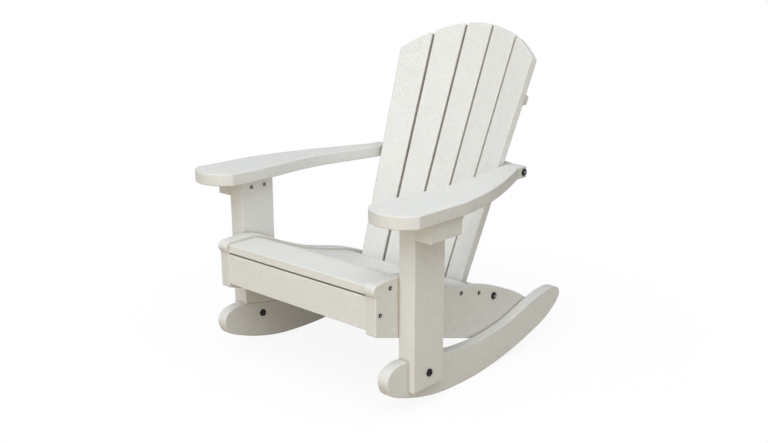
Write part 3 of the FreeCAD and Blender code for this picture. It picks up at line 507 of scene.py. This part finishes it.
def top_of(line, ease):
    """Where a slat's edge meets the arch: its x and height, found by going up and across in turn."""
    height = BACK_RISE
    for turn in range(MEETING_ROUNDS):
        height = arch(spread(line, height) + ease)
    return spread(line, height) + ease, height


def back_slat(node, hand, inner_line, inner_ease, outer_line, outer_ease, mirrored=False):
    """A slat's corners and arch on the back's front face, laid flat in the slat's own plane."""
    inner_top, outer_top = top_of(inner_line, inner_ease), top_of(outer_line, outer_ease)
    inner_foot = spread(inner_line, BACK_FOOT) + inner_ease
    outer_foot = spread(outer_line, BACK_FOOT) + outer_ease
    if mirrored:
        inner_top, inner_foot = (-outer_top[0], outer_top[1]), -outer_foot
    x = np.linspace(outer_top[0], inner_top[0], ARCH_POINTS)
    feet = on_back(hand * np.array([inner_foot, outer_foot]), np.array([BACK_FOOT, BACK_FOOT]))
    tops = on_back(hand * x, arch(x))
    low, high = feet.mean(axis=0), tops[[0, -1]].mean(axis=0)
    across = unit(feet[1] - feet[0]) * hand
    up = unit(high - low - (high - low) @ across * across)
    rear = np.cross(up, across)
    flat = (np.concatenate([feet, tops]) - low) @ np.stack([across, up], axis=1)
    flat[:2, 1] = flat[:2, 1].min()
    flat = round_corners(flat, flat[[0, 1, 2, -1]], CORNER)
    place = (low + rear * SLAT_THICK, across, up)
    return board(node, flat, SLAT_THICK, (SLAT_EDGE, SLAT_EDGE), place, "vuw")


half_gap = BACK_GAP / 2
back_slat("back_slat_centre", 1, FOLD_ONE, -half_gap, FOLD_ONE, -half_gap, mirrored=True)
for side, hand in HANDS.items():
    back_slat("back_slat_inner_" + side, hand, FOLD_ONE, half_gap, FOLD_TWO, -half_gap)
    back_slat("back_slat_outer_" + side, hand, FOLD_TWO, half_gap, RIM, 0)
print("boards so far", len(pieces))

# %% [markdown]
# ## What a finish is made of
# On the real chair a finish is colour, shine and a skin that light grazes. Each could be
# set up by hand in the node editor; here the few kinds of node that come back in every
# finish are short functions, so that a finish reads as a list of its layers.

# %% Helpers for materials
def adder(tree):
    """A short function that adds a node of a kind, with these settings, to the tree."""
    def add(kind, **settings):
        node = tree.nodes.new("ShaderNode" + kind)
        for key, value in settings.items():
            setattr(node, key, value)
        return node
    return add


def material(name):
    """A new material with its tree of nodes, its shader and the tree's adder."""
    made = bpy.data.materials.new(name)
    made.use_nodes = True
    tree = made.node_tree
    return made, tree, tree.nodes["Principled BSDF"], adder(tree)


def noise(tree, add, coordinates, scale, detail, rough=0.5):
    """Noise in three dimensions on the given coordinates; its output is near 0.5."""
    node = add("TexNoise")
    node.inputs["Scale"].default_value = scale
    node.inputs["Detail"].default_value = detail
    node.inputs["Roughness"].default_value = rough
    tree.links.new(coordinates, node.inputs["Vector"])
    return node.outputs["Fac"]


def weighed_sum(tree, add, parts):
    """Each part times its weight, added up."""
    total = None
    for part, weight in parts:
        step = add("Math", operation="MULTIPLY_ADD")
        tree.links.new(part, step.inputs[0])
        step.inputs[1].default_value = weight
        if total is None:
            step.inputs[2].default_value = 0.0
        else:
            tree.links.new(total, step.inputs[2])
        total = step.outputs[0]
    return total


def spanned(tree, add, value, span, to_span=(0, 1)):
    """The value's range from the span's low to its high end, laid over another span."""
    node = add("MapRange")
    for key, number in zip(("From Min", "From Max", "To Min", "To Max"), (*span, *to_span)):
        node.inputs[key].default_value = number
    tree.links.new(value, node.inputs["Value"])
    return node.outputs["Result"]


def mixed(tree, add, one, other, share, blend="MIX"):
    """One colour towards the other by the share; each is a plain value or a node's output."""
    node = add("Mix", data_type="RGBA", blend_type=blend)
    for key, given in {"A": one, "B": other, "Factor": share}.items():
        if isinstance(given, bpy.types.NodeSocket):
            tree.links.new(given, node.inputs[key])
        else:
            node.inputs[key].default_value = given
    return node.outputs["Result"]


def either(tree, add, one, other):
    """The larger of two shares, which is one wherever any of them is."""
    node = add("Math", operation="MAXIMUM")
    tree.links.new(one, node.inputs[0])
    tree.links.new(other, node.inputs[1])
    return node.outputs[0]


def covered(tree, add, surface, cover, share):
    """A surface under a cover that is there by the share."""
    node = add("MixShader")
    tree.links.new(share, node.inputs["Fac"])
    tree.links.new(surface, node.inputs[1])
    tree.links.new(cover, node.inputs[2])
    return node.outputs["Shader"]


def pressed(tree, add, shader, height, strength, depth):
    """Bump: the shader's normal leans with the height's slope."""
    bump = add("Bump")
    bump.inputs["Strength"].default_value = strength
    bump.inputs["Distance"].default_value = depth
    tree.links.new(height, bump.inputs["Height"])
    tree.links.new(bump.outputs["Normal"], shader.inputs["Normal"])


print("helpers for materials are ready")

# %% [markdown]
# ## Finish of the lumber
# The boards are coloured through, pressed with a faint grain and left matte. Close up
# the skin is mottled like orange peel, and the rim that saw and router have cut is a
# little darker and duller. A photograph of such a board could be wrapped round each
# piece; here layers of noise do it, stretched along each board by the place of its
# points in the board's own axes. The braces keep their solid's mesh and read the
# object's coordinates instead. Where boards meet, the colour carries painted shade: it
# is tinted to a fine warm brown line wherever little of the sky is open.

# %% Lumber
WHITE = (1, 1, 1, 1)
LUMBER_LIGHT = (0.848, 0.841, 0.815, 1)
LUMBER_DARK = (0.720, 0.715, 0.689, 1)
STREAKS_PER_METRE = (170, 480, 480)
MOTTLES_PER_METRE, CLOUDS_PER_METRE = 440, 14
STREAK_SHARE, MOTTLE_SHARE, CLOUD_SHARE = 0.40, 0.53, 0.07
SHADE_SPAN, SKIN_SPAN = (0.38, 0.62), (0.35, 0.65)
SKIN_ROUGHNESS, SKIN_SHINE = (0.54, 0.42), 0.42
CUT_TINT, CUT_DULLER = (0.965, 0.965, 0.970, 1), 0.10
# Painted shade in creases and between boards: its warm brown tint, how far the occlusion looks and the span
# it darkens over.
CREVICE_SHADE_TINT, CREVICE_SHADE_REACH, CREVICE_SHADE_SPAN = (0.62, 0.52, 0.39, 1), 9 * MM, (0.1, 0.9)
STREAK_PRESS, MOTTLE_PRESS, PRESS_DEPTH = 0.5, 0.8, 1.5 * MM


def lumber(name, from_grain):
    """The lumber's finish, by the boards' grain and routed attributes or by Object coordinates.

    Streaks, mottles and clouds of noise are added up to one shade, which sets the
    colour between dark and light and the roughness between rough and smooth."""
    made, tree, shader, add = material(name)
    if from_grain:
        place = add("Attribute", attribute_name="grain").outputs["Vector"]
    else:
        place = add("TexCoord").outputs["Object"]
    stretch = add("Mapping")
    stretch.inputs["Scale"].default_value = STREAKS_PER_METRE
    tree.links.new(place, stretch.inputs["Vector"])
    streaks = noise(tree, add, stretch.outputs["Vector"], 1.0, detail=3.0, rough=0.6)
    mottles = noise(tree, add, place, MOTTLES_PER_METRE, detail=2.5, rough=0.65)
    clouds = noise(tree, add, place, CLOUDS_PER_METRE, detail=2.0)
    layers = [(streaks, STREAK_SHARE), (mottles, MOTTLE_SHARE), (clouds, CLOUD_SHARE)]
    shade = weighed_sum(tree, add, layers)
    paint = mixed(tree, add, LUMBER_DARK, LUMBER_LIGHT, spanned(tree, add, shade, SHADE_SPAN))
    rough = spanned(tree, add, shade, SKIN_SPAN, SKIN_ROUGHNESS)
    if from_grain:
        routed = add("Attribute", attribute_name="routed").outputs["Fac"]
        paint = mixed(tree, add, paint, mixed(tree, add, WHITE, CUT_TINT, routed), 1.0, "MULTIPLY")
        rough = weighed_sum(tree, add, [(rough, 1.0), (routed, CUT_DULLER)])
    # Painted shade: the colour turns warm brown where ambient occlusion finds other surfaces close by, in
    # creases and between boards.
    openness = add("AmbientOcclusion", samples=8)
    openness.inputs["Distance"].default_value = CREVICE_SHADE_REACH
    unshaded = spanned(tree, add, openness.outputs["AO"], CREVICE_SHADE_SPAN)
    paint = mixed(tree, add, paint, mixed(tree, add, CREVICE_SHADE_TINT, WHITE, unshaded), 1.0, "MULTIPLY")
    tree.links.new(paint, shader.inputs["Base Color"])
    tree.links.new(rough, shader.inputs["Roughness"])
    shader.inputs["Specular IOR Level"].default_value = SKIN_SHINE
    height = weighed_sum(tree, add, [(streaks, STREAK_PRESS), (mottles, MOTTLE_PRESS)])
    pressed(tree, add, shader, height, 1.0, PRESS_DEPTH)
    return made


board_lumber = lumber("off_white_lumber", True)
for piece in pieces:
    piece.data.materials.append(board_lumber)
brace_lumber = lumber("off_white_lumber_brace", False)
BRACES = ["upper_back_brace", "arm_back_brace", "lower_back_brace"]
for node in BRACES:
    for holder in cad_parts[node].material_slots:
        holder.material = brace_lumber
print("lumber on", len(pieces), "boards and", len(BRACES), "braces")

# %% [markdown]
# ## Finish of the bolts and screws
# The bolts and their nuts are painted black and satin, and worn to a duller grey here
# and there. The screws are smaller and shinier, all steel of one kind. Those of the seat
# and apron get a copy of the steel darker than steel, painted shade for the dark room
# they reflect, so each shows as a dark dot with one bright glint. Those of the brackets
# get a lighter copy, painted light for brighter surroundings, with a plain steel look.
# All could be pure metal, but a white studio would turn that white, so the black is a
# paint with little shine and only the screws are metal.

# %% Hardware
GRIME_PER_METRE = 900
WORN_SPAN, DULL_SPAN = (0.5, 0.75), (0.35, 0.7)
SCRATCH_STRENGTH, SCRATCH_DEPTH = 0.2, 0.05 * MM


def hardware(name, colour, worn, metal, rough, shine):
    """A finish whose colour and roughness go from fresh to worn by one fine noise."""
    made, tree, shader, add = material(name)
    place = add("TexCoord").outputs["Object"]
    grime = noise(tree, add, place, GRIME_PER_METRE, detail=4.0, rough=0.6)
    paint = mixed(tree, add, colour, worn, spanned(tree, add, grime, WORN_SPAN))
    tree.links.new(paint, shader.inputs["Base Color"])
    tree.links.new(spanned(tree, add, grime, DULL_SPAN, rough), shader.inputs["Roughness"])
    shader.inputs["Metallic"].default_value = metal
    shader.inputs["Specular IOR Level"].default_value = shine
    pressed(tree, add, shader, grime, SCRATCH_STRENGTH, SCRATCH_DEPTH)
    return made


black_bolt = hardware("black_bolt_paint", (0.008, 0.009, 0.011, 1), (0.020, 0.022, 0.026, 1),
                      metal=0.0, rough=(0.32, 0.48), shine=0.22)
# Painted shade and painted light: one steel for all screws, in a dark copy and a lighter copy for what each
# reflects.
shaded_screw = hardware("screw_steel_painted_shade", (0.030, 0.032, 0.036, 1), (0.070, 0.072, 0.076, 1),
                      metal=0.8, rough=(0.22, 0.38), shine=0.3)
lit_screw = hardware("screw_steel_painted_light", (0.200, 0.210, 0.225, 1), (0.320, 0.330, 0.345, 1),
                        metal=1.0, rough=(0.28, 0.42), shine=0.5)
dressed = 0
for node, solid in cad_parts.items():
    # The bracket screws take the lighter painted-light copy; the other screws take the darker painted-shade
    # copy.
    if node == "bracket_screws":
        finish = lit_screw
    elif node.endswith("screws"):
        finish = shaded_screw
    elif node.endswith(("bolts", "nuts")):
        finish = black_bolt
    else:
        continue
    dressed += 1
    for holder in solid.material_slots:
        holder.material = finish
print("hardware groups", dressed)

# %% [markdown]
# ## Bright rims of the sockets: painted highlight
# The glint on each head is painted highlight: a thin ring of bright bare steel, half
# sunk in the head's crown at the edge of its socket, stands in for it. It could be
# painted on by a mask in the material, but a head is a few millimetres wide, so the
# ring is simpler. The crowns are found from the solids: the points furthest out on each side.

# %% Socket rims
RIM_TUBE, CROWN_DEPTH, HEADS_APART = 0.45 * MM, 0.4 * MM, 6 * MM
BOLT_RIM, SCREW_RIM = 2.5 * MM, 1.5 * MM
RIM_OF = {"lower_brace_bolts": BOLT_RIM, "arm_brace_bolts": BOLT_RIM,
          "seat_slat_screws": SCREW_RIM, "apron_screws": SCREW_RIM}
# Painted highlight: bright steel for the rings that stand in for the glint on the heads.
glint_steel = hardware("socket_glint_steel", (0.62, 0.63, 0.65, 1), (0.80, 0.81, 0.83, 1),
                      metal=1.0, rough=(0.22, 0.36), shine=0.5)


def crowns(node, hand):
    """Centres of the heads on one side: the middle of each cluster of outermost points."""
    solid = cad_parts[node]
    points = np.zeros(3 * len(solid.data.vertices), np.float32)
    solid.data.vertices.foreach_get("co", points)
    points = points.reshape(-1, 3) * (hand, 1, 1)
    points = points[points[:, 0] > points[:, 0].max() - CROWN_DEPTH]
    points = points[np.argsort(points[:, 1])]
    heads = np.split(points, np.flatnonzero(np.diff(points[:, 1]) > HEADS_APART) + 1)
    return [(head.max(axis=0) + head.min(axis=0)) / 2 * (hand, 1, 1) for head in heads]


def ring_of(centre, radius, around=28, across=10):
    """A ring about the X axis, by the angles a round the ring and b round its tube.

    point = centre + (radius + tube cos b) (0, cos a, sin a) + tube sin b (1, 0, 0)."""
    i, j = np.meshgrid(np.arange(around), np.arange(across), indexing="ij")
    a, b = i * 2 * math.pi / around, j * 2 * math.pi / across
    reach = radius + RIM_TUBE * np.cos(b)
    points = np.stack([RIM_TUBE * np.sin(b), reach * np.cos(a), reach * np.sin(a)], axis=-1) + centre
    further, over = (i + 1) % around * across, (j + 1) % across
    quads = np.stack([i * across + j, further + j, further + over, i * across + over], axis=-1)
    return points.reshape(-1, 3), quads.reshape(-1, 4)


for node, radius in RIM_OF.items():
    points, quads, count = [], [], 0
    for hand in HANDS.values():
        for centre in crowns(node, hand):
            ring, faces = ring_of(centre, radius)
            points.append(ring)
            quads.append(faces + count)
            count += len(ring)
    mesh = bpy.data.meshes.new(node + "_rims")
    mesh.from_pydata(np.concatenate(points), [], np.concatenate(quads).tolist())
    mesh.shade_smooth()
    mesh.materials.append(glint_steel)
    rims = bpy.data.objects.new(node + "_rims", mesh)
    scene.collection.objects.link(rims)
    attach(rims, "root")
    print("rims on", node, len(points))

# %% [markdown]
# ## Floor
# The chair stands on a studio floor that runs out of the picture. It could curve up
# into a wall, but the camera looks down and sees no horizon, so a flat grid is enough.

# %% Floor
FLOOR_HALF, FLOOR_LINES = 8.0, 5

floor_mesh = bpy.data.meshes.new("studio_floor")
edge = np.linspace(-FLOOR_HALF, FLOOR_HALF, FLOOR_LINES)
grid_x, grid_y = np.meshgrid(edge, edge, indexing="ij")
floor_points = np.stack([grid_x, grid_y, 0 * grid_x], axis=-1).reshape(-1, 3)
knot = np.arange(FLOOR_LINES ** 2).reshape(FLOOR_LINES, FLOOR_LINES)
cells = np.stack([knot[:-1, :-1], knot[1:, :-1], knot[1:, 1:], knot[:-1, 1:]], axis=-1).reshape(-1, 4)
floor_mesh.from_pydata(floor_points, [], cells.tolist())
floor = bpy.data.objects.new("studio_floor", floor_mesh)
scene.collection.objects.link(floor)
print("floor is %.0f m across" % (2 * FLOOR_HALF))

# %% [markdown]
# ## Finish of the floor
# The floor sends a warm brown light back up under the seat, as the underside in the
# photograph shows. What the camera sees of it could be the same surface, but the
# photograph's ground is plain white, so that view is mixed with white: only a faint
# shadow stays under the rockers, and it fades out to the sides.

# %% Floor paint
SHADOW_SHARE, SHADOW_NEAR_FAR = 0.10, (0.45, 0.90)
BOUNCE_TONE, SEEN_TONE = (0.46, 0.385, 0.27, 1), (0.97, 0.97, 0.97, 1)

floor_paint, tree, shader, add = material("warm_white_floor")
tree.nodes.remove(shader)
rays = add("LightPath").outputs
mirrored = either(tree, add, rays["Is Glossy Ray"], rays["Is Transmission Ray"])
seen = either(tree, add, rays["Is Camera Ray"], mirrored)
matte = add("BsdfDiffuse")
tree.links.new(mixed(tree, add, BOUNCE_TONE, SEEN_TONE, seen), matte.inputs["Color"])
far_off = add("VectorMath", operation="LENGTH")
tree.links.new(add("TexCoord").outputs["Object"], far_off.inputs[0])
fade = spanned(tree, add, far_off.outputs["Value"], SHADOW_NEAR_FAR, (1 - SHADOW_SHARE, 1.0))
white_share = add("Math", operation="MULTIPLY")
tree.links.new(seen, white_share.inputs[0])
tree.links.new(fade, white_share.inputs[1])
white = add("Emission").outputs["Emission"]
paint = covered(tree, add, matte.outputs["BSDF"], white, white_share.outputs[0])
tree.links.new(paint, tree.nodes["Material Output"].inputs["Surface"])
floor_mesh.materials.append(floor_paint)
print("shadow share", SHADOW_SHARE)

# %% [markdown]
# ## Lamps
# The brightness of the boards' faces tells where the photograph's light came from: most
# of it from a big soft window high in front, near the camera, some from low in front,
# and a little from the right wall. It could be one lamp, but then the fronts of the arms
# and the far rocker come out wrong, so there are three large area lamps.

# %% Lamps
CHAIR_MIDDLE = Vector((0, 0, 0.35))


def soft_lamp(name, place, wide, power, colour):
    """A square area lamp turned to the chair's middle."""
    data = bpy.data.lights.new(name, "AREA")
    data.size = wide
    data.energy = power
    data.color = colour
    lamp = bpy.data.objects.new(name, data)
    lamp.location = place
    lamp.rotation_euler = (CHAIR_MIDDLE - Vector(place)).to_track_quat("-Z", "Y").to_euler()
    scene.collection.objects.link(lamp)


soft_lamp("window", (0.94, -1.76, 3.10), wide=3.2, power=74, colour=(0.955, 0.990, 1.0))
soft_lamp("low_front", (0.30, -3.40, 0.80), wide=2.4, power=26, colour=(1.0, 0.95, 0.89))
soft_lamp("right_wall", (3.05, -2.00, 0.90), wide=2.2, power=21, colour=(0.98, 0.97, 0.92))
print("lamps", [lamp.name for lamp in bpy.data.lights])

# %% [markdown]
# ## The white room
# A cooler share of the light comes from the ceiling. It could be one even grey all
# round, but that would lift the undersides too, so the world gets brighter from the
# horizon upwards. The camera sees it as plain white, while its light on the chair is
# dimmer.

# %% World
ROOM_COLOUR = (0.95, 0.98, 1.0, 1)
ROOM_LIGHT, CEILING_LIGHT = 0.15, 0.62

world = bpy.data.worlds.new("white_room")
world.use_nodes = True
scene.world = world
tree = world.node_tree
add = adder(tree)
room = tree.nodes["Background"]
room.inputs["Color"].default_value = ROOM_COLOUR
ways = add("SeparateXYZ")
tree.links.new(add("TexCoord").outputs["Generated"], ways.inputs[0])
brightness = spanned(tree, add, ways.outputs["Z"], (0, 1), (ROOM_LIGHT, ROOM_LIGHT + CEILING_LIGHT))
tree.links.new(brightness, room.inputs["Strength"])
wall = add("Background")
wall.inputs["Color"].default_value = WHITE
rays = add("LightPath").outputs
seen = either(tree, add, rays["Is Camera Ray"], rays["Is Transmission Ray"])
backdrop = covered(tree, add, room.outputs["Background"], wall.outputs["Background"], seen)
tree.links.new(backdrop, tree.nodes["World Output"].inputs["Surface"])
scene.view_settings.view_transform = "Standard"
print("room light %.2f at eye level, %.2f overhead" % (ROOM_LIGHT, ROOM_LIGHT + CEILING_LIGHT))

# %% [markdown]
# ## Camera
# The photograph was taken from the sitter's front left, above the arms. The camera could
# be set by eye with a target to look at, but then the boards' edges don't meet those of
# the photograph. Its place and turn were found from the straight edges of the boards; the
# turn is written as axes at right angles, and a small shift frames the chair.

# %% Camera
CAMERA_PLACE = (1.27589, -1.46435, 0.81970)
CAMERA_RIGHT = (0.75441634, 0.65639117, 0.00257252)
CAMERA_UP = (-0.17810064, 0.20092283, 0.96328094)

lens = bpy.data.cameras.new("photograph_view")
lens.sensor_width = 36
lens.lens = 43.3734
lens.shift_x = -0.01385
lens.shift_y = 0.00228
camera = bpy.data.objects.new("photograph_view", lens)
right, up = Vector(CAMERA_RIGHT), Vector(CAMERA_UP)
axes = Matrix((right, up, right.cross(up))).transposed()
camera.matrix_world = Matrix.Translation(CAMERA_PLACE) @ axes.to_4x4()
scene.collection.objects.link(camera)
scene.camera = camera
print("camera at", CAMERA_PLACE)
